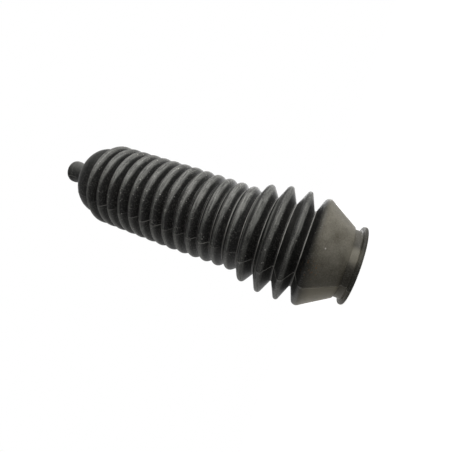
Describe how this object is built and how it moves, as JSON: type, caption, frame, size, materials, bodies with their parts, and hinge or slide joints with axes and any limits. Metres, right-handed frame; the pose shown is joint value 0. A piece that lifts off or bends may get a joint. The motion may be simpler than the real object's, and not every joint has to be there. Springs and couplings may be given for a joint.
{
  "type": "steering rack boot",
  "caption": "Moulded rubber bellows with a flared large mouth, three deep folds, thirteen regular folds, a domed end and a narrow neck.",
  "frame": {"origin": "centre of the face of the large mouth, which the boot stands on", "axes": "+Z along the boot's axis, from the large mouth to the neck; the boot is round, so +X and +Y are free"},
  "size_m": [0.0708, 0.0708, 0.2172],
  "materials": {
    "moulded_rubber": "matte black moulded rubber, dusty on the cone and the fold crests"
  },
  "bodies": {
    "root": {"boot": "moulded_rubber"}
  },
  "joints": []
}
